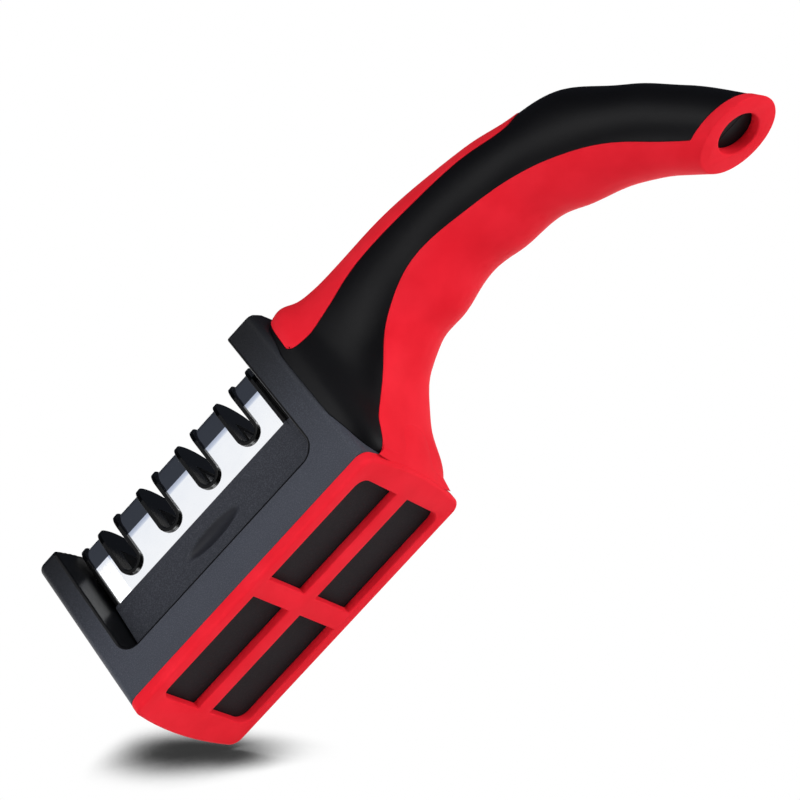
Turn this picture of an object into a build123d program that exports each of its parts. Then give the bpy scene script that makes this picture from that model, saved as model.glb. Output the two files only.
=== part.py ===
"""Pull-through knife sharpener: a four-slot cartridge in a cradle with an arched, soft-gripped handle.

Millimetres, +Z up. X runs along the length from the blade end to the handle end, Y across, and the
origin is the middle of the sole's cross bar, on the table.
"""

import os
from math import atan2, cos, degrees, radians, sin, tan

from build123d import *

os.makedirs("parts", exist_ok=True)

# Block: the plan shape that the sole and the housing share
block_left = -43.6
block_right = 41.9
block_width = 43.0
end_bulge = 2.2
block_corner = 3.5
overrun = 30.0
fit = 0.3
seat = 0.05

# Sole with its four windows
sole_thickness = 2.6
boot_height = 3.2
sole_edge = 1.0
frame_left = 6.8
frame_right = 5.1
frame_side = 3.8
cross_bar = 5.7
long_bar = 4.7
window_corner = 3.0
plate_thickness = 2.4
plate_margin = 3.2

# Housing
housing_inset = 0.2
housing_corner = 2.4
housing_draft = 0.2
housing_wall = 2.4
left_tower = 6.8
right_tower = 9.1
pocket_floor = 14.0
pocket_corner = 4.5
left_shoulder = 52.6
left_crown = 56.1
right_shoulder = 56.6
right_crown = 60.2
tower_bevel = 3.9
crown_round = 2.0
pocket_edge_round = 0.6
rail_width = 3.6
rail_depth = 1.4
rail_height = 32.0

# Handle: the axis runs from the housing's end over the hand and down to the foot
handle_root = 0.9
handle_reach = 115.0
axis_height = 43.0
grip_half_width = 13.5
core_inset = 0.2
skin_depth = 2.2
handle_wall = 2.6
foot_height = 3.2
foot_recess = 5.9
foot_share = 0.999
belly_end_share = 0.925
pad_corner = 1.0
pad_tip_shares = (0.722, 1.24)

# Cartridge
cartridge_lower_half = 12.0
cartridge_upper_half = 9.8
cover_half = 9.3
cover_crown = 57.6
cover_height = 23.1
hood_rise = 3.0
hood_round = 6.0
cover_thickness = 0.5
cover_from_left = 1.8
cover_from_right = 5.0
rim_width = 1.0
rim_proud = 0.8
cartridge_wall = 1.8
slot_pitch = 15.0
slot_count = 4
slot_width = 5.0
slot_depth = 18.8
dimple_length = 20.5
dimple_height = 5.6
dimple_depth = 1.1
dimple_below_cover = 7.2
cartridge_base_thickness = 2.4
cartridge_boss_y = 7.2
cartridge_boss = 4.4
cartridge_screw_head = 4.0
cartridge_head_height = 1.2

# Sharpening elements and their holders
holder_width = 13.4
holder_depth = 8.8
holder_below_crown = 8.1
rod_diameter = 2.8
rod_gap = 0.4
rod_rise = 11.5
rod_drop = 8.0
rod_lean = 20.0
rod_crossing_depth = 1.8
blade_width = 4.4
blade_thickness = 1.2
blade_rise = 11.2
blade_drop = 7.0
blade_lean = 24.0
blade_crossing_depth = 3.8
scissor_width = 4.0
scissor_rise = 8.4
scissor_drop = 6.0
scissor_lean = 34.0
scissor_crossing_depth = 0.3

# Screws
screw_shank = 2.4
screw_head = 4.6
screw_head_height = 1.8
screw_length = 9.0
screw_cross = 0.7
handle_screw_length = 17.0
boss_diameter = 5.6
head_edge_share = 0.35
cross_share = 0.6
tip_share = 0.25
base_screw_x_share = 1.6
screw_y_share = 0.6
handle_screw_z_shares = (0.51, 0.70)

# Pegs that line up the halves of the handle
peg_diameter = 3.2
peg_length = 4.0
peg_post = 6.4
peg_post_share = 0.75

# Stations of the handle. Each row: distance from the handle's start over handle_reach, height of the
# axis over axis_height, half width over grip_half_width, upper and lower half heights over
# axis_height, fullness of the corners, and slope of the axis, as axis_height over handle_reach.
station_shares = [
    (0.000, 0.665, 1.585, 0.660, 0.630, 0.88, 0.00),
    (0.026, 0.684, 1.530, 0.672, 0.645, 0.86, 0.00),
    (0.048, 0.740, 1.425, 0.644, 0.644, 0.84, 0.00),
    (0.078, 0.807, 1.215, 0.570, 0.570, 0.78, 0.00),
    (0.113, 0.865, 1.111, 0.516, 0.516, 0.70, 0.00),
    (0.152, 0.933, 1.052, 0.453, 0.453, 0.64, 0.09),
    (0.200, 0.979, 1.022, 0.412, 0.416, 0.60, 0.19),
    (0.243, 0.995, 1.007, 0.400, 0.388, 0.58, 0.14),
    (0.313, 1.007, 1.000, 0.388, 0.400, 0.57, 0.05),
    (0.378, 1.009, 0.993, 0.370, 0.360, 0.57, -0.07),
    (0.439, 1.000, 0.993, 0.349, 0.329, 0.57, -0.23),
    (0.487, 0.986, 0.993, 0.335, 0.339, 0.57, -0.38),
    (0.530, 0.967, 0.993, 0.328, 0.353, 0.57, -0.52),
    (0.583, 0.935, 0.989, 0.322, 0.339, 0.57, -0.72),
    (0.648, 0.881, 0.978, 0.312, 0.316, 0.57, -1.05),
    (0.691, 0.830, 0.974, 0.342, 0.320, 0.57, -1.36),
    (0.735, 0.770, 0.963, 0.356, 0.335, 0.57, -1.74),
    (0.783, 0.684, 0.941, 0.323, 0.321, 0.57, -2.17),
    (0.826, 0.588, 0.904, 0.288, 0.293, 0.57, -2.63),
    (0.870, 0.479, 0.867, 0.272, 0.277, 0.57, -2.97),
    (0.913, 0.344, 0.815, 0.254, 0.256, 0.57, -3.42),
    (0.948, 0.219, 0.778, 0.247, 0.247, 0.57, -3.82),
    (0.978, 0.100, 0.748, 0.235, 0.235, 0.57, -4.45),
    (1.005, -0.030, 0.730, 0.231, 0.228, 0.57, -4.93),
    (1.030, -0.155, 0.722, 0.228, 0.228, 0.57, -5.25),
    (1.055, -0.285, 0.715, 0.228, 0.228, 0.57, -5.25),
]

# Upper edge of the soft belly in side view, from the sole's end to the foot
belly_edge_shares = [
    (0.026, 0.098),
    (0.066, 0.286),
    (0.117, 0.477),
    (0.176, 0.663),
    (0.264, 0.814),
    (0.363, 0.874),
    (0.508, 0.821),
    (0.630, 0.733),
    (0.716, 0.614),
    (0.793, 0.470),
    (0.867, 0.256),
]

# Lower edge of the top pad in side view, from its rounded corner by the tower to its tip
pad_edge_shares = [
    (0.076, 0.988),
    (0.151, 1.077),
    (0.219, 1.135),
    (0.290, 1.153),
    (0.369, 1.147),
    (0.444, 1.135),
    (0.586, 1.088),
    (0.685, 1.040),
]

# Places that follow from the sizes above
handle_start = block_right - handle_root
window_left = block_left + frame_left
window_right = block_right - frame_right
window_side = block_width / 2 - frame_side
pocket_left = block_left + left_tower
pocket_right = block_right - right_tower
cover_left = pocket_left + cover_from_left
cover_right = pocket_right - cover_from_right
slots_middle = (cover_left + cover_right) / 2
cover_bottom = cover_crown - cover_height
slot_bottom = cover_crown - slot_depth
holder_top = cover_crown - holder_below_crown
dimple_z = cover_bottom - dimple_below_cover
rail_top = pocket_floor + rail_height


def along(share):
    """Distance along X of a share of the handle's reach."""
    return handle_start + share * handle_reach


def block_profile(inset, corner=block_corner):
    """Plan outline of the block: straight sides, gently bowed ends and round corners."""
    left = block_left + inset
    right = block_right - inset
    half_y = block_width / 2 - inset
    with BuildSketch() as outline:
        with BuildLine():
            Line((left, -half_y), (right, -half_y))
            ThreePointArc((right, -half_y), (right + end_bulge, 0), (right, half_y))
            Line((right, half_y), (left, half_y))
            ThreePointArc((left, half_y), (left - end_bulge, 0), (left, -half_y))
        make_face()
        fillet(outline.vertices(), corner)
    return outline.sketch


def block_form():
    """Drafted block of the housing, from the top of the boot to above both towers."""
    with BuildPart() as form:
        with BuildSketch(Plane.XY.offset(boot_height)):
            add(block_profile(housing_inset, housing_corner))
        extrude(amount=right_crown - boot_height, taper=housing_draft)
    return form.part


def rounded_section(half_width, upper, lower, fullness):
    """Closed section of four curves, from an ellipse to a soft rectangle as the fullness grows."""
    with BuildSketch() as section:
        with BuildLine():
            for side, height in ((1, upper), (-1, -lower)):
                Bezier(
                    (side * half_width, 0),
                    (side * half_width, fullness * height),
                    (side * fullness * half_width, height),
                    (0, height),
                )
                Bezier(
                    (0, height),
                    (-side * fullness * half_width, height),
                    (-side * half_width, fullness * height),
                    (-side * half_width, 0),
                )
        make_face()
    return section.sketch


def handle_form(inset):
    """Whole handle as one body, lofted through its stations and drawn in by the inset."""
    with BuildPart() as form:
        for x_share, z_share, width, upper, lower, fullness, slope in station_shares:
            centre = (along(x_share), 0, z_share * axis_height)
            forward = (handle_reach, 0, slope * axis_height)
            with BuildSketch(Plane(origin=centre, x_dir=(0, 1, 0), z_dir=forward)):
                add(
                    rounded_section(
                        width * grip_half_width - inset,
                        upper * axis_height - inset,
                        lower * axis_height - inset,
                        fullness,
                    )
                )
        loft()
    return form.part


def belly_mask():
    """Everything below the belly's edge and below the foot's band."""
    points = [(along(a), b * axis_height) for a, b in belly_edge_shares]
    start = (block_right - end_bulge, boot_height)
    band = (along(belly_end_share), foot_height)
    far = foot_axis_x + overrun
    with BuildPart() as mask:
        with BuildSketch(Plane.XZ):
            with BuildLine():
                Spline(start, *points, band)
                Polyline(band, (far, foot_height), (far, -overrun), (start[0], -overrun), start)
            make_face()
        extrude(amount=block_width, both=True)
    return mask.part


def pad_mask(gap):
    """Everything above the top pad's edge, between the tower and the pad's tip."""
    points = [(along(a), b * axis_height + gap) for a, b in pad_edge_shares]
    wall_x = block_right + end_bulge / 2 + gap
    low = (wall_x + pad_corner, points[0][1] - 2 * pad_corner)
    tip = (along(pad_tip_shares[0]) - gap, pad_tip_shares[1] * axis_height)
    with BuildPart() as mask:
        with BuildSketch(Plane.XZ):
            with BuildLine():
                Line((wall_x, 2 * axis_height), (wall_x, low[1] + pad_corner))
                Spline((wall_x, low[1] + pad_corner), low, *points, tip)
                Polyline(tip, (tip[0], 2 * axis_height), (wall_x, 2 * axis_height))
            make_face()
        extrude(amount=block_width, both=True)
    return mask.part


def above_arch(shoulder, crown):
    """Region above an arch that spans the block's width, seen along X."""
    half = block_width / 2
    with BuildSketch() as region:
        with BuildLine():
            ThreePointArc((-half, shoulder), (0, crown), (half, shoulder))
            Polyline((half, shoulder), (half, 2 * crown), (-half, 2 * crown), (-half, shoulder))
        make_face()
    return region.sketch


def slot_profile(width, bottom):
    """Round-bottomed slot, open at the top, seen along Y and centred on X zero."""
    radius = width / 2
    top = cover_crown + overrun
    with BuildSketch() as region:
        with BuildLine():
            ThreePointArc((-radius, bottom + radius), (0, bottom), (radius, bottom + radius))
            Polyline((radius, bottom + radius), (radius, top), (-radius, top), (-radius, bottom + radius))
        make_face()
    return region.sketch


def hood_profile(half, crown, bottom):
    """Inverted U of the cartridge's upper part with round shoulders, seen along X."""
    shoulder = crown - hood_rise
    with BuildSketch() as region:
        with BuildLine():
            ThreePointArc((-half, shoulder), (0, crown), (half, shoulder))
            Polyline((half, shoulder), (half, bottom), (-half, bottom), (-half, shoulder))
        make_face()
        fillet(region.vertices().group_by(Axis.Y)[-1], hood_round + half - cover_half)
    return region.sketch


def screw(head_width=screw_head, shank=screw_shank, length=screw_length, head_height=screw_head_height):
    """Pan-head screw with a cross recess, head up, its seat at the origin."""
    with BuildPart() as body:
        with BuildSketch():
            Circle(head_width / 2)
        extrude(amount=head_height)
        chamfer(body.faces().sort_by(Axis.Z)[-1].edges(), head_height * head_edge_share)
        with BuildSketch(Plane.XY.offset(head_height)):
            for turn in (0, 90):
                Rectangle(head_width * cross_share, screw_cross, rotation=turn)
        extrude(amount=-head_height / 2, mode=Mode.SUBTRACT)
        with BuildSketch():
            Circle(shank / 2)
        extrude(amount=-length)
        chamfer(body.faces().sort_by(Axis.Z)[0].edges(), shank * tip_share)
    return body.part


foot_axis_x = along(foot_share)
slot_places = [slots_middle + (i - (slot_count - 1) / 2) * slot_pitch for i in range(slot_count)]
cartridge_left = pocket_left + fit
cartridge_right = pocket_right - fit
cartridge_bottom = pocket_floor + fit

outer_handle = handle_form(0)
core_handle = handle_form(core_inset)
inner_handle = handle_form(skin_depth)
housing_block = block_form()
belly_region = belly_mask()

# Screws that hold the sole plate, driven down from the pocket's floor
base_screw_places = [
    (slots_middle + side_x * base_screw_x_share * slot_pitch, side_y * screw_y_share * cartridge_lower_half)
    for side_x in (-1, 1)
    for side_y in (-1, 1)
]
base_screw_seat = pocket_floor - screw_head_height - fit
post_top = base_screw_seat - housing_wall

# Screws that hold the handle, driven from the pocket through the tall tower
handle_screw_places = [
    (side_y * screw_y_share * cartridge_lower_half, axis_height * share)
    for side_y in (-1, 1)
    for share in handle_screw_z_shares
]
handle_screw_seat = pocket_right + screw_head_height + fit

# Housing: a block with a pocket between two end towers, hollow from below
with BuildPart() as housing:
    add(housing_block)
    with BuildSketch(Plane.YZ):
        add(above_arch(right_shoulder, right_crown))
    extrude(amount=2 * block_right, mode=Mode.SUBTRACT)
    with BuildSketch(Plane.YZ):
        add(above_arch(left_shoulder, left_crown))
    extrude(amount=2 * block_left, mode=Mode.SUBTRACT)
    with BuildSketch(Plane.XZ) as slope:
        end = block_right + end_bulge
        with BuildLine():
            Polyline(
                (end - 2 * tower_bevel, right_crown + tower_bevel),
                (end + tower_bevel, right_crown - 2 * tower_bevel),
                (end + tower_bevel, right_crown + tower_bevel),
                close=True,
            )
        make_face()
    extrude(amount=block_width, both=True, mode=Mode.SUBTRACT)
    with BuildSketch(Plane.XZ) as pocket:
        with BuildLine():
            Polyline(
                (pocket_left, 2 * right_crown),
                (pocket_left, pocket_floor),
                (pocket_right, pocket_floor),
                (pocket_right, 2 * right_crown),
                close=True,
            )
        make_face()
        fillet(pocket.vertices().group_by(Axis.Y)[0], pocket_corner)
    extrude(amount=block_width, both=True, mode=Mode.SUBTRACT)
    outer_crown = housing.edges().filter_by_position(Axis.X, 2 * block_left, block_left)
    fillet(outer_crown.group_by(Axis.Z)[-1], crown_round)
    at_wall = housing.edges().filter_by_position(Axis.X, pocket_left - seat, pocket_left + seat)
    fillet(at_wall.filter_by_position(Axis.Z, left_shoulder - seat, left_crown + seat), pocket_edge_round)
    at_tower = housing.edges().filter_by_position(Axis.X, pocket_right - seat, 2 * block_right)
    fillet(at_tower.filter_by_position(Axis.Z, left_shoulder, right_crown + seat), pocket_edge_round)
    with BuildSketch(Plane.XY.offset(boot_height)):
        add(block_profile(housing_inset + housing_wall, housing_corner))
    extrude(amount=pocket_floor - housing_wall - boot_height, mode=Mode.SUBTRACT)
    with BuildSketch(Plane.XY.offset(pocket_floor - housing_wall)):
        with Locations(*base_screw_places):
            Circle(boss_diameter / 2 + housing_wall / 2)
    extrude(amount=post_top + seat - pocket_floor + housing_wall)
    for end_x, side in ((pocket_left, 1), (pocket_right, -1)):
        with BuildSketch(Plane.XY.offset(pocket_floor - seat)):
            with Locations((end_x + side * (rail_depth - fit) / 2, 0)):
                Rectangle(rail_depth + fit, rail_width)
        extrude(amount=rail_top - pocket_floor)
    with BuildSketch(Plane.XY.offset(pocket_floor)):
        with Locations(*base_screw_places):
            Circle(screw_head / 2 + fit)
    extrude(amount=base_screw_seat - pocket_floor, mode=Mode.SUBTRACT)
    with BuildSketch(Plane.XY.offset(pocket_floor)):
        with Locations(*base_screw_places):
            Circle(screw_shank / 2 + seat)
    extrude(amount=-pocket_floor, mode=Mode.SUBTRACT)
    with BuildSketch(Plane.YZ.offset(pocket_right)):
        with Locations(*handle_screw_places):
            Circle(screw_head / 2 + fit)
    extrude(amount=handle_screw_seat - pocket_right, mode=Mode.SUBTRACT)
    with BuildSketch(Plane.YZ.offset(pocket_right)):
        with Locations(*handle_screw_places):
            Circle(screw_shank / 2 + seat)
    extrude(amount=block_right, mode=Mode.SUBTRACT)
housing.part.label = "housing"
export_step(housing.part, "parts/housing.step")

# Sole plate: the black floor in the sole's windows, with posts for its screws
with BuildPart() as base_plate:
    with BuildSketch(Plane.XY.offset(sole_thickness)):
        add(block_profile(plate_margin))
    extrude(amount=plate_thickness)
    with BuildSketch(Plane.XY.offset(sole_thickness + plate_thickness)):
        with Locations(*base_screw_places):
            Circle(boss_diameter / 2)
    extrude(amount=post_top - sole_thickness - plate_thickness)
    with BuildSketch(Plane.XY.offset(post_top)):
        with Locations(*base_screw_places):
            Circle(screw_shank / 2 + seat)
    extrude(amount=sole_thickness - post_top + plate_thickness / 2, mode=Mode.SUBTRACT)
base_plate.part.label = "base_plate"
export_step(base_plate.part, "parts/base_plate.step")

with BuildPart() as base_screws:
    with Locations(*[(x, y, base_screw_seat) for x, y in base_screw_places]):
        add(screw(length=base_screw_seat - sole_thickness - plate_thickness))
base_screws.part.label = "base_screws"
export_step(base_screws.part, "parts/base_screws.step")

# Soft overmould: boot with four windows, belly of the handle and ring of the foot in one piece
with BuildPart() as foot_core:
    add(inner_handle)
    with BuildSketch(Plane.XY.offset(foot_height)):
        with Locations((foot_axis_x / 2, 0)):
            Rectangle(2 * foot_axis_x, 2 * block_width)
    extrude(amount=-overrun, mode=Mode.SUBTRACT)

with BuildPart() as boot:
    with BuildSketch():
        add(block_profile(0))
    extrude(amount=boot_height)
    fillet(boot.faces().sort_by(Axis.Z)[0].edges(), sole_edge)

with BuildPart() as overmould:
    add(outer_handle)
    add(belly_region, mode=Mode.INTERSECT)
    add(foot_core.part, mode=Mode.SUBTRACT)
    add(housing_block, mode=Mode.SUBTRACT)
    with BuildSketch():
        with Locations((foot_axis_x / 2, 0)):
            Rectangle(2 * foot_axis_x, 2 * block_width)
    extrude(amount=-overrun, mode=Mode.SUBTRACT)
    add(boot.part)
    with BuildSketch(Plane.XY.offset(sole_thickness)):
        add(block_profile(plate_margin - fit))
    extrude(amount=overrun, mode=Mode.SUBTRACT)
    with BuildSketch() as windows:
        for inner_x, outer_x in ((-cross_bar / 2, window_left), (cross_bar / 2, window_right)):
            with BuildLine():
                Polyline(
                    (inner_x, long_bar / 2),
                    (outer_x, long_bar / 2),
                    (outer_x, window_side),
                    (inner_x, window_side),
                    close=True,
                )
            make_face()
        upper_corners = windows.vertices().group_by(Axis.Y)[-1].sort_by(Axis.X)
        fillet([upper_corners[0], upper_corners[-1]], window_corner)
        mirror(about=Plane.XZ)
    extrude(amount=boot_height, mode=Mode.SUBTRACT)
    with BuildSketch():
        with Locations((foot_axis_x, 0)):
            Circle(foot_recess)
    extrude(amount=foot_height, mode=Mode.SUBTRACT)
overmould.part.label = "soft_overmould"
export_step(overmould.part, "parts/soft_overmould.step")

with BuildPart() as top_pad:
    add(outer_handle)
    add(pad_mask(seat), mode=Mode.INTERSECT)
    add(inner_handle, mode=Mode.SUBTRACT)
    add(housing_block, mode=Mode.SUBTRACT)
top_pad.part.label = "top_pad"
export_step(top_pad.part, "parts/top_pad.step")

# Handle core: hard, hollow, parted along the middle into a near and a far half
with BuildPart() as core:
    add(core_handle)
    add(belly_region, mode=Mode.SUBTRACT)
    add(pad_mask(0), mode=Mode.SUBTRACT)
    add(foot_core.part)
    add(housing_block, mode=Mode.SUBTRACT)
    add(boot.part, mode=Mode.SUBTRACT)
    with BuildSketch(Plane.YZ.offset(handle_screw_seat + handle_screw_length + fit)):
        with Locations(*handle_screw_places):
            Circle(screw_shank / 2 - seat)
    extrude(amount=-handle_screw_length, mode=Mode.SUBTRACT)

# Room inside the core, from past its solid root to above its solid foot
with BuildPart() as hollow:
    add(handle_form(skin_depth + handle_wall))
    with BuildSketch(Plane.XZ) as root_and_foot:
        with BuildLine():
            Polyline(
                (0, -overrun),
                (foot_axis_x + overrun, -overrun),
                (foot_axis_x + overrun, foot_height + 2 * handle_wall),
                (handle_screw_seat + handle_screw_length + handle_wall, foot_height + 2 * handle_wall),
                (handle_screw_seat + handle_screw_length + handle_wall, 2 * axis_height),
                (0, 2 * axis_height),
                close=True,
            )
        make_face()
    extrude(amount=block_width, both=True, mode=Mode.SUBTRACT)

# Pegs that line up the two halves, on the handle's axis
peg_stations = [station_shares[i] for i in (8, 12, 16)]
peg_places = [(along(s[0]), s[1] * axis_height) for s in peg_stations]

for name, keep, side in (("handle_near_half", Keep.TOP, -1), ("handle_far_half", Keep.BOTTOM, 1)):
    with BuildPart() as half:
        add(core.part)
        add(hollow.part, mode=Mode.SUBTRACT)
        with BuildSketch(Plane.XZ):
            with Locations(*peg_places):
                Circle(peg_post / 2)
        extrude(amount=-side * grip_half_width * peg_post_share)
        split(bisect_by=Plane.XZ, keep=keep)
        with BuildSketch(Plane.XZ):
            with Locations(*peg_places):
                Circle(peg_diameter / 2 + (0 if side < 0 else seat))
        if side < 0:
            extrude(amount=-peg_length)
        else:
            extrude(amount=-peg_length - fit, mode=Mode.SUBTRACT)
    half.part.label = name
    export_step(half.part, f"parts/{name}.step")

with BuildPart() as handle_screws:
    with Locations(*[Location((handle_screw_seat, y, z), (0, -90, 0)) for y, z in handle_screw_places]):
        add(screw(shank=screw_shank - 3 * seat, length=handle_screw_length))
handle_screws.part.label = "handle_screws"
export_step(handle_screws.part, "parts/handle_screws.step")

# Cartridge body: skirt, hood and the proud lips round its slots, hollow from below. The grip dimples
# are scooped by a lens turned about an axis that lies outside the panel.
dimple_radius = ((dimple_height / 2) ** 2 + dimple_depth**2) / (2 * dimple_depth)
lip_half = cover_half + rim_proud
lip_crown = cover_crown + rim_proud
hood_half = cover_half - cover_thickness
skirt_corner = pocket_corner - fit
room_left = cartridge_left + cartridge_wall + rail_depth
room_right = cartridge_right - cartridge_wall - rail_depth
skirt_lean = degrees(atan2(cartridge_lower_half - cartridge_upper_half, cover_bottom - cartridge_bottom))
cartridge_boss_places = [
    (slots_middle + side_x * slot_pitch, side_y * cartridge_boss_y)
    for side_x in (-1, 1)
    for side_y in (-1, 1)
]
holder_bottom = cartridge_bottom + cartridge_base_thickness


def skirt_profile(inset, height):
    """Leaning sides of the cartridge's lower part, seen along X, drawn in by the inset."""
    top_half = cartridge_lower_half - height * tan(radians(skirt_lean))
    low = cartridge_lower_half - inset
    high = top_half - inset
    with BuildSketch() as region:
        with BuildLine():
            Polyline(
                (-low, cartridge_bottom),
                (low, cartridge_bottom),
                (high, cartridge_bottom + height),
                (-high, cartridge_bottom + height),
                close=True,
            )
        make_face()
    return region.sketch


with BuildPart() as liners:
    for place in slot_places:
        with BuildSketch(Plane.XZ):
            with Locations((place, 0)):
                add(slot_profile(slot_width + 2 * rim_width, slot_bottom - rim_width))
        extrude(amount=block_width, both=True)
    with BuildSketch(Plane.YZ.offset(cover_left)):
        add(hood_profile(lip_half, lip_crown, 0))
    extrude(amount=cover_right - cover_left, mode=Mode.INTERSECT)

with BuildPart() as cartridge_body:
    with BuildSketch(Plane.YZ.offset(cartridge_left)):
        add(skirt_profile(0, cover_bottom - cartridge_bottom))
    extrude(amount=cartridge_right - cartridge_left)
    fillet(cartridge_body.edges().filter_by(Axis.Y).group_by(Axis.Z)[0], skirt_corner)
    with BuildSketch(Plane.YZ.offset(cover_left)):
        add(hood_profile(hood_half, cover_crown - cover_thickness, cover_bottom - cartridge_wall))
    extrude(amount=cover_right - cover_left)
    for end_x in (cover_left - rim_width, cover_right):
        with BuildSketch(Plane.YZ.offset(end_x)):
            add(hood_profile(lip_half, lip_crown, cover_bottom - cartridge_wall))
        extrude(amount=rim_width)
    with BuildSketch(Plane.YZ.offset(cover_right + rim_width)):
        add(hood_profile(hood_half - rim_width, cover_crown - rim_width, cover_bottom - cartridge_wall))
    extrude(amount=cartridge_right - cover_right - rim_width)
    with BuildSketch(Plane.YZ.offset(room_left)):
        add(skirt_profile(cartridge_wall, cover_bottom - cartridge_wall - cartridge_bottom))
    extrude(amount=room_right - room_left, mode=Mode.SUBTRACT)
    with BuildSketch(Plane.XY.offset(cartridge_bottom)):
        with Locations((slots_middle, 0)):
            Rectangle(cover_right - cover_left - 2 * cartridge_wall, 2 * (hood_half - cartridge_wall))
    extrude(amount=cover_crown - hood_round - cartridge_wall - cartridge_bottom, mode=Mode.SUBTRACT)
    add(liners.part)
    for place in slot_places:
        with BuildSketch(Plane.XZ):
            with Locations((place, 0)):
                add(slot_profile(slot_width, slot_bottom))
        extrude(amount=lip_half + overrun, both=True, mode=Mode.SUBTRACT)
    with BuildSketch(Plane.XY.offset(cartridge_bottom)):
        with Locations(*[(place, 0) for place in slot_places]):
            Rectangle(holder_width + fit, holder_depth + fit)
    extrude(amount=holder_top + fit - cartridge_bottom, mode=Mode.SUBTRACT)
    with BuildSketch(Plane.XY.offset(cover_bottom)):
        with Locations(*cartridge_boss_places):
            Circle(cartridge_boss / 2)
    extrude(amount=holder_bottom - cover_bottom + seat)
    with BuildSketch(Plane.XY.offset(holder_bottom)):
        with Locations(*cartridge_boss_places):
            Circle(screw_shank / 2 - seat)
    extrude(amount=screw_length, mode=Mode.SUBTRACT)
    for end_x in (cartridge_left, cartridge_right):
        with BuildSketch(Plane.XY.offset(cartridge_bottom)):
            with Locations((end_x, 0)):
                Rectangle(2 * rail_depth, rail_width + 2 * fit)
        extrude(amount=rail_top + fit - cartridge_bottom, mode=Mode.SUBTRACT)
    for side in (-1, 1):
        panel_y = side * (cartridge_lower_half - (dimple_z - cartridge_bottom) * tan(radians(skirt_lean)))
        panel = Vector(slots_middle, panel_y, dimple_z)
        outward = Vector(0, side * cos(radians(skirt_lean)), sin(radians(skirt_lean)))
        with BuildSketch(Plane(origin=panel, x_dir=(1, 0, 0), z_dir=Vector(1, 0, 0).cross(outward))):
            with BuildLine():
                ThreePointArc((-dimple_length / 2, 0), (0, -dimple_depth), (dimple_length / 2, 0))
                Line((dimple_length / 2, 0), (-dimple_length / 2, 0))
            make_face()
        revolve(axis=Axis(panel + outward * (dimple_radius - dimple_depth), (1, 0, 0)), mode=Mode.SUBTRACT)
cartridge_body.part.label = "cartridge_body"
export_step(cartridge_body.part, "parts/cartridge_body.step")

# Cartridge cover: one bent sheet of stainless steel with the slots cut through it
with BuildPart() as cartridge_cover:
    with BuildSketch(Plane.YZ.offset(cover_left + seat)):
        add(hood_profile(cover_half, cover_crown, cover_bottom))
        add(hood_profile(hood_half, cover_crown - cover_thickness, cover_bottom), mode=Mode.SUBTRACT)
    extrude(amount=cover_right - cover_left - 2 * seat)
    for place in slot_places:
        with BuildSketch(Plane.XZ):
            with Locations((place, 0)):
                add(slot_profile(slot_width + 2 * rim_width + 2 * seat, slot_bottom - rim_width - seat))
        extrude(amount=block_width, both=True, mode=Mode.SUBTRACT)
cartridge_cover.part.label = "cartridge_cover"
export_step(cartridge_cover.part, "parts/cartridge_cover.step")

# Cartridge base: the plate that closes the cartridge from below
cartridge_screw_seat = cartridge_bottom + cartridge_head_height + fit
with BuildPart() as cartridge_base:
    with BuildSketch(Plane.YZ.offset(room_left + seat)):
        add(skirt_profile(cartridge_wall + seat, cartridge_base_thickness))
    extrude(amount=room_right - room_left - 2 * seat)
    with BuildSketch(Plane.XY.offset(cartridge_bottom)):
        with Locations(*cartridge_boss_places):
            Circle(cartridge_screw_head / 2 + seat)
    extrude(amount=cartridge_screw_seat - cartridge_bottom, mode=Mode.SUBTRACT)
    with BuildSketch(Plane.XY.offset(cartridge_bottom)):
        with Locations(*cartridge_boss_places):
            Circle(screw_shank / 2 + seat)
    extrude(amount=cartridge_base_thickness, mode=Mode.SUBTRACT)
cartridge_base.part.label = "cartridge_base"
export_step(cartridge_base.part, "parts/cartridge_base.step")

with BuildPart() as cartridge_screws:
    with Locations(*[Location((x, y, cartridge_screw_seat), (180, 0, 0)) for x, y in cartridge_boss_places]):
        add(
            screw(
                head_width=cartridge_screw_head,
                shank=screw_shank - 3 * seat,
                length=screw_length,
                head_height=cartridge_head_height,
            )
        )
cartridge_screws.part.label = "cartridge_screws"
export_step(cartridge_screws.part, "parts/cartridge_screws.step")


def leaning_bars(place, width, thickness, rise, drop, lean, depth, grow=0):
    """Two flat bars that cross like an X seen along Y, one behind the other, under a slot's bottom."""
    crossing = slot_bottom - depth
    with BuildPart() as bars:
        for side in (-1, 1):
            middle = (place, side * (thickness + rod_gap) / 2, crossing)
            across = (cos(radians(lean)), 0, -side * sin(radians(lean)))
            with BuildSketch(Plane(origin=middle, x_dir=across, z_dir=(0, 1, 0))):
                with Locations((0, -(rise - drop) / 2)):
                    Rectangle(width + 2 * grow, rise + drop + 2 * grow)
            extrude(amount=thickness / 2 + grow, both=True)
    return bars.part


def leaning_rods(place, diameter, rise, drop, lean, depth, grow=0):
    """Two round rods that cross like an X seen along Y, one behind the other, under a slot's bottom."""
    crossing = slot_bottom - depth
    with BuildPart() as rods:
        for side in (-1, 1):
            up = (side * sin(radians(lean)), 0, cos(radians(lean)))
            foot = (place - drop * up[0], side * (diameter + rod_gap) / 2, crossing - drop * up[2])
            with BuildSketch(Plane(origin=foot, x_dir=(0, 1, 0), z_dir=up)):
                Circle(diameter / 2 + grow)
            extrude(amount=rise + drop + grow)
    return rods.part


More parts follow.
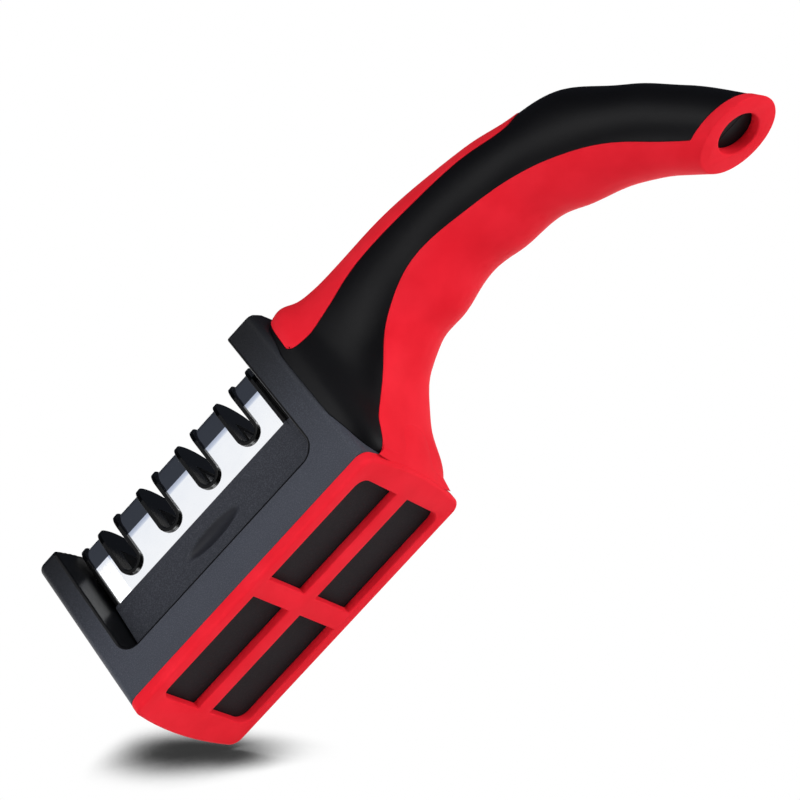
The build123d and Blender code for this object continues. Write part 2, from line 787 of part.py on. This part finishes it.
def holder(place, elements):
    """Moulded block that carries one pair of elements in its two cheeks, either side of the slot."""
    with BuildPart() as block:
        with BuildSketch(Plane.XY.offset(holder_bottom)):
            with Locations((place, 0)):
                Rectangle(holder_width, holder_depth)
        extrude(amount=holder_top - holder_bottom)
        with BuildSketch(Plane.XZ):
            with Locations((place, 0)):
                add(slot_profile(slot_width, slot_bottom))
        extrude(amount=holder_depth, both=True, mode=Mode.SUBTRACT)
        add(elements, mode=Mode.SUBTRACT)
    return block.part


rods = {
    "diameter": rod_diameter,
    "rise": rod_rise,
    "drop": rod_drop,
    "lean": rod_lean,
    "depth": rod_crossing_depth,
}
blades = {
    "width": blade_width,
    "thickness": blade_thickness,
    "rise": blade_rise,
    "drop": blade_drop,
    "lean": blade_lean,
    "depth": blade_crossing_depth,
}
scissor_plates = {
    "width": scissor_width,
    "thickness": blade_thickness,
    "rise": scissor_rise,
    "drop": scissor_drop,
    "lean": scissor_lean,
    "depth": scissor_crossing_depth,
}
stages = [
    ("scissor_plates", "scissor_holder", leaning_bars, scissor_plates),
    ("carbide_blades", "carbide_holder", leaning_bars, blades),
    ("diamond_rods", "diamond_holder", leaning_rods, rods),
    ("ceramic_rods", "ceramic_holder", leaning_rods, rods),
]
for place, (element_name, holder_name, shape, sizes) in zip(slot_places, stages):
    elements = shape(place, **sizes)
    elements.label = element_name
    export_step(elements, f"parts/{element_name}.step")
    block = holder(place, shape(place, grow=seat, **sizes))
    block.label = holder_name
    export_step(block, f"parts/{holder_name}.step")
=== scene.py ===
"""Looks of the pull-through knife sharpener: finishes, soft skins, studio and the photograph's viewpoint.

Metres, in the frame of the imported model: +X towards the handle's end, +Z up, origin on the sole.
"""

from math import cos, radians, sin

import bpy
from mathutils import Matrix, Vector


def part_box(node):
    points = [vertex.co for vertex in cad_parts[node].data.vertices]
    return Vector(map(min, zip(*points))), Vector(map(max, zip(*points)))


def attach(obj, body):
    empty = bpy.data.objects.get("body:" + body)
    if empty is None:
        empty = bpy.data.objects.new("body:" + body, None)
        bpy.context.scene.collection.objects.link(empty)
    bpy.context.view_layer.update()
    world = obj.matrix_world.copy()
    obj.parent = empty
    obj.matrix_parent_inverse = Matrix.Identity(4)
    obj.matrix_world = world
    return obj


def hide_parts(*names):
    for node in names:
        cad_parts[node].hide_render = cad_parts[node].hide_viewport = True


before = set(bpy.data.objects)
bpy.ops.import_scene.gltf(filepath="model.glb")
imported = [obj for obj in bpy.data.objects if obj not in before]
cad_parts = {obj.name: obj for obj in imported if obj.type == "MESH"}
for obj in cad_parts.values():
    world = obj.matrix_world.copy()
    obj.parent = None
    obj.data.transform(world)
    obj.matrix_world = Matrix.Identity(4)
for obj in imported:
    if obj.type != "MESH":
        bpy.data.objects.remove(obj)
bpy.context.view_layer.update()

# Viewpoint
# The sharpener is photographed from below its sole, from the near side and a little towards the
# handle, with a long lens. The three directions are the picture's right, up and back to the lens.
lens_place = Vector((0.1745, -0.5507, -0.3760))
picture_right = Vector((0.6658, 0.5277, -0.5275)).normalized()
picture_back = Vector((0.1776, -0.7988, -0.5748)).normalized()
picture_up = picture_back.cross(picture_right).normalized()
picture_right = picture_up.cross(picture_back)
picture_turn = Matrix((picture_right, picture_up, picture_back)).transposed().to_4x4()

camera_data = bpy.data.cameras.new("photo_camera")
camera_data.lens = 126.0
camera_data.sensor_width = 36.0
camera_data.clip_end = 20.0
camera = bpy.data.objects.new("photo_camera", camera_data)
camera.matrix_world = Matrix.Translation(lens_place) @ picture_turn
bpy.context.scene.collection.objects.link(camera)
bpy.context.scene.camera = camera
bpy.context.scene.view_settings.view_transform = "Standard"


# Housing
# The cradle is one moulding in charcoal ABS with a fine spark-eroded grain. Its colour turns darker
# towards the tops of its towers, as painted shade. The pocket's walls are polished black, with a
# narrow black band over the pocket's edge that is painted shadow of the gap round the cartridge.
# The corners are just eased, and the soft boot is moulded on under it.
class Wire:
    """An output socket of one finish, so that masks can be written as plain maths."""

    def __init__(self, finish, socket):
        self.finish = finish
        self.socket = socket

    def maths(self, operation, *others):
        """A Math node of this wire and the others."""
        values = dict(enumerate((self, *others)))
        return self.finish.node("Math", {"operation": operation}, values)

    def __add__(self, other):
        return self.maths("ADD", other)

    def __sub__(self, other):
        return self.maths("SUBTRACT", other)

    def __rsub__(self, other):
        return self.maths("MULTIPLY", -1.0).maths("ADD", other)

    def __mul__(self, other):
        return self.maths("MULTIPLY", other)

    def __truediv__(self, other):
        return self.maths("DIVIDE", other)

    def __abs__(self):
        return self.maths("ABSOLUTE")

    __radd__ = __add__
    __rmul__ = __mul__

    def rise(self, low, high):
        """Smooth step from 0 at low to 1 at high."""
        settings = {"interpolation_type": "SMOOTHSTEP"}
        inputs = {"Value": self, "From Min": low, "From Max": high}
        return self.finish.node("MapRange", settings, inputs)


class Finish:
    """One procedural material: a Principled shader, its constants, and nodes added one by one."""

    def __init__(self, name, **constants):
        self.material = bpy.data.materials.new(name)
        self.material.use_nodes = True
        self.tree = self.material.node_tree
        self.shader = self.tree.nodes["Principled BSDF"]
        for socket, value in constants.items():
            self.shader.inputs[socket.replace("_", " ")].default_value = value

    def node(self, kind, settings=None, inputs=None, output=0):
        """Adds a node: its settings first, then the values or wires of its sockets."""
        node = self.tree.nodes.new("ShaderNode" + kind)
        for key, value in (settings or {}).items():
            setattr(node, key, value)
        for key, value in (inputs or {}).items():
            self.join(node.inputs[key], value)
        return Wire(self, node.outputs[output])

    def join(self, socket, value):
        """Gives a socket a wire or a value."""
        if isinstance(value, Wire):
            self.tree.links.new(value.socket, socket)
        else:
            socket.default_value = value

    def place(self, scale=(1.0, 1.0, 1.0)):
        """Object coordinates in metres, stretched by the scale."""
        where = self.node("TexCoord", output="Object")
        return self.node("Mapping", inputs={"Vector": where, "Scale": scale})

    def axis(self, letter):
        """One of the object coordinates, in metres."""
        return self.node("SeparateXYZ", inputs={"Vector": self.place()}, output=letter)

    def noise(self, size, detail, stretch=(1.0, 1.0, 1.0)):
        """Cloudy pattern from 0 to 1 whose features are about the size, in metres."""
        inputs = {"Vector": self.place(stretch), "Scale": 1.0 / size, "Detail": detail}
        return self.node("TexNoise", inputs=inputs)

    def blend(self, mask, low, high):
        """Colour from low to high by the mask."""
        inputs = {0: mask, 6: low, 7: high}
        return self.node("Mix", {"data_type": "RGBA"}, inputs, output=2)

    def relief(self, height, depth, edge=0.0):
        """Bump of the height pattern, depth metres deep, over edges that look eased by the radius."""
        inputs = {"Height": height, "Distance": depth, "Strength": 1.0}
        if edge:
            inputs["Normal"] = self.node("Bevel", {"samples": 6}, {"Radius": edge})
        return self.node("Bump", inputs=inputs)

    def set(self, **inputs):
        """Feeds the shader's sockets."""
        for socket, value in inputs.items():
            self.join(self.shader.inputs[socket.replace("_", " ")], value)


def colour(red, green, blue):
    """A colour picked on a screen, 0 to 255, as the linear values that a shader takes."""
    parts = [part / 255.0 for part in (red, green, blue)]
    linear = [part / 12.92 if part <= 0.04045 else ((part + 0.055) / 1.055) ** 2.4 for part in parts]
    return (*linear, 1.0)


def shaded(tone, share):
    """The tone made darker, or lighter with a share over 1."""
    return (*(part * share for part in tone[:3]), 1.0)


def dress(node, finish):
    """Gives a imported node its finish."""
    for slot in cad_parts[node].material_slots:
        slot.material = finish.material


def grained_plastic(name, tone, grain, depth, roughness, edge, shine, polish=None):
    """Moulded plastic with a spark-eroded grain and flow clouds, and polished where a mask asks it.

    With a mask, the colour also darkens towards the top, which is painted shade.
    """
    flow_size = 0.018
    finish = Finish(name, Specular_IOR_Level=shine)
    fine = finish.noise(grain, detail=3.0)
    cloud = finish.noise(flow_size, detail=2.0)
    speck = fine.rise(0.42, 0.72)
    shade = finish.blend(speck * 0.7 + cloud * 0.3, shaded(tone, 0.76), shaded(tone, 1.42))
    rough = roughness + fine * 0.16 - cloud * 0.06
    height = fine
    if polish:
        # Painted shade: the colour darkens from the foot towards the towers' tops.
        painted_shade_start = 0.008
        painted_shade_full = 0.058
        polished_roughness = 0.30
        painted_shade_by_height = finish.axis("Z").rise(painted_shade_start, painted_shade_full)
        shade = finish.blend(painted_shade_by_height, shade, shaded(tone, 0.12))
        mask = polish(finish)
        shade = finish.blend(mask, shade, colour(9, 9, 11))
        rough = rough * (1.0 - mask) + mask * polished_roughness
        height = fine * (1.0 - mask)
    finish.set(Base_Color=shade, Roughness=rough, Normal=finish.relief(height, depth, edge))
    return finish


def pocket_walls_and_painted_gap_shadow(finish):
    """Mask of the pocket's walls and rim: what lies within the rounded notch and its narrow rim.

    The walls are polished black; the rim's black over the edge is painted shadow of the gap.
    """
    skirt_low, skirt_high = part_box("cartridge_body")
    fit = 0.0003
    corner = 0.0045
    # Painted shadow: the rim carries the black over the pocket's edge as the dark gap round the
    # cartridge.
    rim = 0.00065
    fade = 0.00012
    middle = (skirt_low.x + skirt_high.x) / 2
    half = (skirt_high.x - skirt_low.x) / 2 + fit
    across = (abs(finish.axis("X") - middle) - (half - corner)).maths("MAXIMUM", 0.0)
    below = ((skirt_low.z - fit + corner) - finish.axis("Z")).maths("MAXIMUM", 0.0)
    outside = (across * across + below * below).maths("SQRT") - corner
    return 1.0 - outside.rise(rim, rim + fade)


housing_finish = grained_plastic(
    "housing_plastic",
    colour(66, 69, 78),
    grain=0.00030,
    depth=0.00006,
    roughness=0.40,
    edge=0.0004,
    shine=0.12,
    polish=pocket_walls_and_painted_gap_shadow,
)
dress("housing", housing_finish)

# Sole plate
# A dark plate closes the cradle from below and shows through the sole's windows. It is moulded
# flatter than the housing and stays matt where the hand never rubs it. The cartridge's base is
# moulded in the same way.
plate_finish = grained_plastic(
    "plate_plastic",
    colour(30, 27, 29),
    grain=0.00045,
    depth=0.00004,
    roughness=0.52,
    edge=0.0,
    shine=0.05,
)
dress("base_plate", plate_finish)
dress("cartridge_base", plate_finish)


# Soft overmould
# Boot, belly of the handle and ring of the foot are one skin of red elastomer, shot over the hard
# core in the mould, and the thumb's inlay on top is a second shot. It is matt, with the faintest
# tooth, and its lips are soft.
def soft_elastomer(name):
    """Red elastomer: dense colour, matt bloom, faint tooth and slow waves of gloss."""
    tooth_size = 0.00028
    tooth_depth = 0.00002
    bloom_size = 0.012
    finish = Finish(name, Specular_IOR_Level=0.07)
    tooth = finish.noise(tooth_size, detail=2.0)
    bloom = finish.noise(bloom_size, detail=3.0)
    finish.set(
        Base_Color=finish.blend(bloom.rise(0.3, 0.7), colour(229, 28, 44), colour(238, 36, 52)),
        Roughness=0.50 + bloom * 0.10 + tooth * 0.06,
        Normal=finish.relief(tooth, tooth_depth, edge=0.0004),
    )
    return finish


soft_finish = soft_elastomer("soft_red")


def soft_piece(name, node, lip):
    """Copy of a packed soft solid, its triangles joined up and its lips rounded off."""
    bpy.ops.object.select_all(action="DESELECT")
    piece = bpy.data.objects.new(name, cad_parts[node].data.copy())
    bpy.context.scene.collection.objects.link(piece)
    piece.select_set(True)
    bpy.context.view_layer.objects.active = piece
    bpy.ops.object.mode_set(mode="EDIT")
    bpy.ops.mesh.select_all(action="SELECT")
    bpy.ops.mesh.remove_doubles(threshold=0.00003)
    bpy.ops.mesh.dissolve_limited(angle_limit=radians(0.3))
    bpy.ops.mesh.normals_make_consistent(inside=False)
    bpy.ops.object.mode_set(mode="OBJECT")
    rounding = piece.modifiers.new("rounded_lips", "BEVEL")
    rounding.width = lip
    rounding.segments = 3
    rounding.limit_method = "ANGLE"
    rounding.angle_limit = radians(30.0)
    rounding.use_clamp_overlap = False
    bpy.ops.object.modifier_apply(modifier=rounding.name)
    bpy.ops.object.shade_smooth_by_angle(angle=radians(40.0))
    piece.data.materials.clear()
    piece.data.materials.append(soft_finish.material)
    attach(piece, "cradle")
    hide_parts(node)


soft_piece("soft_boot_and_belly", "soft_overmould", lip=0.00035)
soft_piece("soft_thumb_inlay", "top_pad", lip=0.0003)


# Web at the belly's root
# The red skin flares out where the belly meets the boot, so that the handle's root runs into the
# corners of the sole. The flare is part of the same shot: a thin tongue, widest and lowest at the
# boot, whose two rims curl up towards the belly.
web_overlap = 0.0006
web_length = 0.0086
web_steps = 9
web_half_at_belly = 0.0090
web_flare_at_boot = 0.0076
web_height_at_boot = 0.0006
web_climb = 0.0135
web_rim_at_boot = 0.0002
web_rim_curl = 0.0038
web_half_thickness = 0.0013
web_half_thickening = 0.0008
web_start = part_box("housing")[1].x - web_overlap
bpy.ops.object.select_all(action="DESELECT")
bpy.ops.mesh.primitive_circle_add(vertices=56, radius=1.0, fill_type="NGON")
web = bpy.context.active_object
web.name = "soft_root_web"
bpy.ops.object.mode_set(mode="EDIT")
bpy.ops.mesh.select_all(action="SELECT")
for step in range(web_steps):
    bpy.ops.mesh.extrude_region_move(TRANSFORM_OT_translate={"value": (0.0, 0.0, 1.0)})
bpy.ops.object.mode_set(mode="OBJECT")
for vertex in web.data.vertices:
    side, front, height = vertex.co
    share = height / web_steps
    half_width = web_half_at_belly + web_flare_at_boot * (1.0 - share) ** 2.6
    bottom = web_height_at_boot + web_climb * share ** 1.7
    rim = web_rim_at_boot + web_rim_curl * min(1.0, 2.5 * share)
    half_thick = web_half_thickness + web_half_thickening * share
    vertex.co = (
        web_start + web_length * share,
        half_width * side,
        bottom + half_thick * (1.0 + front) + rim * abs(side) ** 2.2,
    )
bpy.ops.object.mode_set(mode="EDIT")
bpy.ops.mesh.select_all(action="SELECT")
bpy.ops.mesh.normals_make_consistent(inside=False)
bpy.ops.object.mode_set(mode="OBJECT")
bpy.ops.object.shade_smooth_by_angle(angle=radians(50.0))
web.data.materials.append(soft_finish.material)
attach(web, "cradle")


# Handle core
# Two hard halves in black ABS, screwed to the cradle and welded along the middle. Their surface
# is a fine satin, and the weld shows as a hairline where no soft skin covers it.
def satin_core(name):
    """Satin black plastic with a hairline seam along the middle plane."""
    satin_size = 0.00022
    cloud_size = 0.02
    seam_inner = 0.00006
    seam_outer = 0.00022
    seam_depth = 0.00012
    finish = Finish(name, Specular_IOR_Level=0.09)
    fine = finish.noise(satin_size, detail=2.0)
    cloud = finish.noise(cloud_size, detail=2.0)
    seam = 1.0 - abs(finish.axis("Y")).rise(seam_inner, seam_outer)
    shade = finish.blend(cloud, colour(8, 8, 10), colour(12, 12, 15))
    finish.set(
        Base_Color=finish.blend(seam, shade, colour(4, 4, 5)),
        Roughness=0.36 + fine * 0.08 + cloud * 0.05 + seam * 0.3,
        Normal=finish.relief(fine * 0.06 - seam, seam_depth, edge=0.0004),
    )
    return finish


core_finish = satin_core("handle_plastic")
dress("handle_near_half", core_finish)
dress("handle_far_half", core_finish)


# Screws
# Zinc-plated steel with a cross recess, driven under the cartridge, inside the tall tower and
# through the cartridge's base, where none of them shows in use.
def plated_steel(name, tone, streak):
    """Plated or ground metal with fine marks, drawn out by the streak, and patches of duller skin."""
    mark_size = 0.00012
    mark_depth = 0.00001
    patch_size = 0.0016
    finish = Finish(name, Metallic=1.0)
    marks = finish.noise(mark_size, detail=2.0, stretch=streak)
    patch = finish.noise(patch_size, detail=3.0)
    finish.set(
        Base_Color=finish.blend(patch.rise(0.35, 0.7), tone, shaded(tone, 0.72)),
        Roughness=0.22 + marks * 0.16 + patch * 0.1,
        Normal=finish.relief(marks, mark_depth),
    )
    return finish


screw_finish = plated_steel("screw_steel", colour(186, 188, 192), streak=(1.0, 1.0, 6.0))
for screws in ("base_screws", "handle_screws", "cartridge_screws"):
    dress(screws, screw_finish)


# Cartridge body
# Its skirt has the housing's grain, rubbed smooth in the two grip dimples, whose darker colour is
# painted shade. Above the skirt the hood, the proud lips of the slots and the end block are polished
# almost black.
def cartridge_plastic(name):
    """Grained charcoal on the skirt, rubbed smooth where it sinks into a dimple, and polished black
    above.

    The dimples' darker colour is painted shade.
    """
    cover_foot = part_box("cartridge_cover")[0].z
    body_low, body_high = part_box("cartridge_body")
    skirt_top_half = 0.0098
    skirt_lean = (skirt_top_half - body_high.y) / (cover_foot - body_low.z)
    grain_size = 0.00032
    grain_depth = 0.00006
    polish_fade = 0.0001
    dimple_rim = 0.00006
    dimple_inside = 0.00050
    finish = Finish(name, Specular_IOR_Level=0.14)
    fine = finish.noise(grain_size, detail=3.0)
    height = finish.axis("Z")
    polished = height.rise(cover_foot - polish_fade, cover_foot + polish_fade)
    grained = finish.blend(fine.rise(0.42, 0.72), colour(50, 52, 59), colour(70, 72, 80))
    wall = body_high.y + (height - body_low.z) * skirt_lean
    sunk = wall - abs(finish.axis("Y"))
    dimple = sunk.rise(dimple_rim, dimple_inside) * (1.0 - polished)
    # Painted shade: the dimples get a darker colour than the skirt around them.
    rubbed_and_painted_shade = finish.blend(dimple, grained, colour(36, 37, 43))
    finish.set(
        Base_Color=finish.blend(polished, rubbed_and_painted_shade, colour(4, 4, 5)),
        Roughness=(0.44 + fine * 0.14 - dimple * 0.08) * (1.0 - polished) + polished * 0.14,
        Normal=finish.relief(fine * (1.0 - polished) * (1.0 - dimple), grain_depth, edge=0.00035),
    )
    return finish


dress("cartridge_body", cartridge_plastic("cartridge_plastic"))


# Cartridge cover
# One sheet of stainless steel, half a millimetre thick, polished along its length, bent over the
# hood and held by the lips that come up through its slots. A bump lets reflections roll softly
# over its bends and towards its end.
def polished_steel(name):
    """Stainless sheet with a mirror polish, hairlines along its length and faint handling marks."""
    cover_low, cover_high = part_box("cartridge_cover")
    end_start = cover_low.x + 0.0045
    end_lean = 150.0
    lower_bend = (cover_high.z - 0.0114, 0.035)
    upper_bend = (cover_high.z - 0.0098, 0.22)
    bend_radius = 0.0009
    bump_depth = 0.001
    hairline_size = 0.00010
    hairline_depth = 0.0012
    smear_size = 0.006
    finish = Finish(name, Metallic=1.0)
    hairline = finish.noise(hairline_size, detail=2.0, stretch=(0.04, 1.0, 1.0))
    smear = finish.noise(smear_size, detail=3.0)
    height = finish.axis("Z")
    from_end = (end_start - finish.axis("X")).maths("MAXIMUM", 0.0)
    form = from_end * end_lean
    for start, slope in (lower_bend, upper_bend):
        rolled = (height - start).maths("MAXIMUM", 0.0)
        form = form - rolled * rolled / (rolled + bend_radius) * (slope / bump_depth)
    finish.set(
        Base_Color=finish.blend(smear, colour(250, 251, 252), colour(242, 244, 247)),
        Roughness=0.05 + hairline * 0.04 + smear * 0.03,
        Normal=finish.relief(form + hairline * hairline_depth, bump_depth),
    )
    return finish


dress("cartridge_cover", polished_steel("cover_steel"))

# Holders
# Each slot has a moulded block under it that grips its pair of elements in two cheeks. The blocks
# are unpolished, and their near-black colour is painted shade, so that the slot reads as a black gap.
# Painted shade: the holders are near black for the depth of the slots.
holder_painted_shade_finish = grained_plastic(
    "holder_plastic",
    colour(14, 14, 15),
    grain=0.0003,
    depth=0.00003,
    roughness=0.40,
    edge=0.0002,
    shine=0.10,
)
for holder in ("scissor_holder", "carbide_holder", "diamond_holder", "ceramic_holder"):
    dress(holder, holder_painted_shade_finish)

# Carbide plates and blades
# Sintered tungsten carbide, ground on all faces: a dense grey with short grinding scratches. Each
# pair crosses under its slot, and its holder grips it.
carbide_finish = plated_steel("carbide", colour(84, 85, 89), streak=(8.0, 1.0, 1.0))
dress("scissor_plates", carbide_finish)
dress("carbide_blades", carbide_finish)


# Diamond rods
# Steel rods plated with diamond grit, which glitters and leaves them rough and grey. They cross
# under their slot, gripped by the holder.
def diamond_grit(name):
    """Rough plated grit with bright points."""
    grit_per_metre = 7000.0
    grit_depth = 0.00006
    glint_size = 0.0002
    finish = Finish(name, Metallic=0.7)
    grit = finish.node("TexVoronoi", inputs={"Vector": finish.place(), "Scale": grit_per_metre})
    glint = finish.noise(glint_size, detail=1.0).rise(0.62, 0.70)
    finish.set(
        Base_Color=finish.blend(glint, colour(96, 97, 100), colour(190, 192, 196)),
        Roughness=0.62 - glint * 0.4,
        Normal=finish.relief(grit, grit_depth),
    )
    return finish


dress("diamond_rods", diamond_grit("diamond_grit"))


# Ceramic rods
# Fine black ceramic, almost smooth, with a trace of grey where steel has rubbed off on it. The
# rods cross under the last slot, gripped by their holder.
def black_ceramic(name):
    """Dense black ceramic with a fine tooth and faint steel marks."""
    tooth_size = 0.00015
    tooth_depth = 0.00001
    rub_size = 0.002
    finish = Finish(name, Specular_IOR_Level=0.5)
    tooth = finish.noise(tooth_size, detail=2.0)
    rub = finish.noise(rub_size, detail=3.0, stretch=(1.0, 3.0, 0.4)).rise(0.58, 0.72)
    finish.set(
        Base_Color=finish.blend(rub, colour(48, 48, 50), colour(74, 74, 76)),
        Roughness=0.42 + tooth * 0.1,
        Normal=finish.relief(tooth, tooth_depth),
    )
    return finish


dress("ceramic_rods", black_ceramic("ceramic_black"))

# Floor
# A white sweep lies just under the sole's lowest corner in the picture and is seen at a flat
# angle. It turns dark for the eye where the object is close over it, which is the soft shadow,
# and lets the view through from behind.
floor_tilt = radians(7.0)
floor_gap = 0.0014
shadow_reach = 0.022
shadow_darkest = 0.04
plain_white = (1.0, 1.0, 1.0, 1.0)
off_white = (0.80, 0.80, 0.80, 1.0)
black = (0.0, 0.0, 0.0, 1.0)
floor_up = picture_up * cos(floor_tilt) + picture_back * sin(floor_tilt)
lowest = min(
    floor_up.dot(vertex.co)
    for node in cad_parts.values()
    for vertex in node.data.vertices
)
floor_middle = lens_place - picture_back * lens_place.length
floor_middle -= floor_up * (floor_up.dot(floor_middle) - lowest + floor_gap)
bpy.ops.object.select_all(action="DESELECT")
bpy.ops.mesh.primitive_circle_add(vertices=96, radius=1.5, fill_type="NGON")
floor = bpy.context.active_object
floor.name = "white_sweep"
floor_right = floor_up.cross(picture_back).normalized()
floor_turn = Matrix((floor_right, floor_up.cross(floor_right), floor_up)).transposed().to_4x4()
floor.data.transform(Matrix.Translation(floor_middle) @ floor_turn)
floor_finish = Finish("white_sweep", Roughness=0.9, Specular_IOR_Level=0.0, Emission_Strength=1.0)
contact = floor_finish.node(
    "AmbientOcclusion", {"samples": 24}, {"Distance": shadow_reach}, output="AO"
)
by_camera = floor_finish.node("LightPath", output="Is Camera Ray")
by_gloss = floor_finish.node("LightPath", output="Is Glossy Ray")
lit = shadow_darkest + contact.rise(0.50, 0.97) * (1.0 - shadow_darkest)
floor_finish.set(
    Base_Color=floor_finish.blend(by_camera, off_white, black),
    Emission_Color=floor_finish.blend(by_camera * lit + by_gloss, black, plain_white),
    Alpha=1.0 - floor_finish.node("NewGeometry", output="Backfacing"),
)
floor.data.materials.append(floor_finish.material)

# Studio light
# A pale tent lights everything evenly and looks white through the lens. Polished surfaces see it
# as one white band with a bluish upper edge, between black cloths. Soft boxes stand at the right
# and the upper left of the lens, and a small one stands close to the cradle's lower corner.
world = bpy.data.worlds.new("studio")
world.use_nodes = True
bpy.context.scene.world = world


class Sky(Finish):
    """The tent, written with the same wires as a finish."""

    def __init__(self, tree):
        self.tree = tree
        self.shader = tree.nodes["Background"]


sky = Sky(world.node_tree)
tent_strength = 0.36
cloth_strength = 0.06
pale_blue = (0.62, 0.70, 0.90, 1.0)
roof_direction = (-0.10, 0.35, 0.93)
through_lens = sky.node("LightPath", output="Is Camera Ray")
through_glass = sky.node("LightPath", output="Is Transmission Ray")
direct = through_lens + through_glass
glossy = sky.node("LightPath", output="Is Glossy Ray")
look = sky.node("TexCoord", output="Generated")
towards_roof = sky.node(
    "VectorMath", {"operation": "DOT_PRODUCT"}, {0: look, 1: roof_direction}, output="Value"
)
band = towards_roof.rise(-0.25, -0.02) * (1.0 - towards_roof.rise(0.32, 0.44))
band_strength = cloth_strength + band * (1.0 - cloth_strength)
lens_part = direct * (1.0 - tent_strength)
gloss_part = glossy * (band_strength - tent_strength)
sky.set(
    Color=sky.blend(towards_roof.rise(0.29, 0.38) * glossy, plain_white, pale_blue),
    Strength=tent_strength + lens_part + gloss_part,
)


def soft_box(name, aim, right, up, back, size, watts):
    """Square area light at a place given from its aim in the picture's directions."""
    data = bpy.data.lights.new(name, "AREA")
    data.shape = "SQUARE"
    data.size = size
    data.energy = watts
    light = bpy.data.objects.new(name, data)
    place = aim + picture_right * right + picture_up * up + picture_back * back
    turn = (place - aim).to_track_quat("Z", "Y").to_matrix().to_4x4()
    light.matrix_world = Matrix.Translation(place) @ turn
    bpy.context.scene.collection.objects.link(light)


object_middle = Vector((0.05, 0.0, 0.03))
cradle_foot = Vector((-0.03, -0.02, 0.005))
soft_box("right_box", object_middle, right=1.20, up=0.50, back=0.55, size=0.8, watts=12.2)
soft_box("left_box", object_middle, right=-0.50, up=0.50, back=0.50, size=0.5, watts=2.9)
soft_box("low_box", cradle_foot, right=-0.06, up=-0.06, back=0.15, size=0.10, watts=0.22)
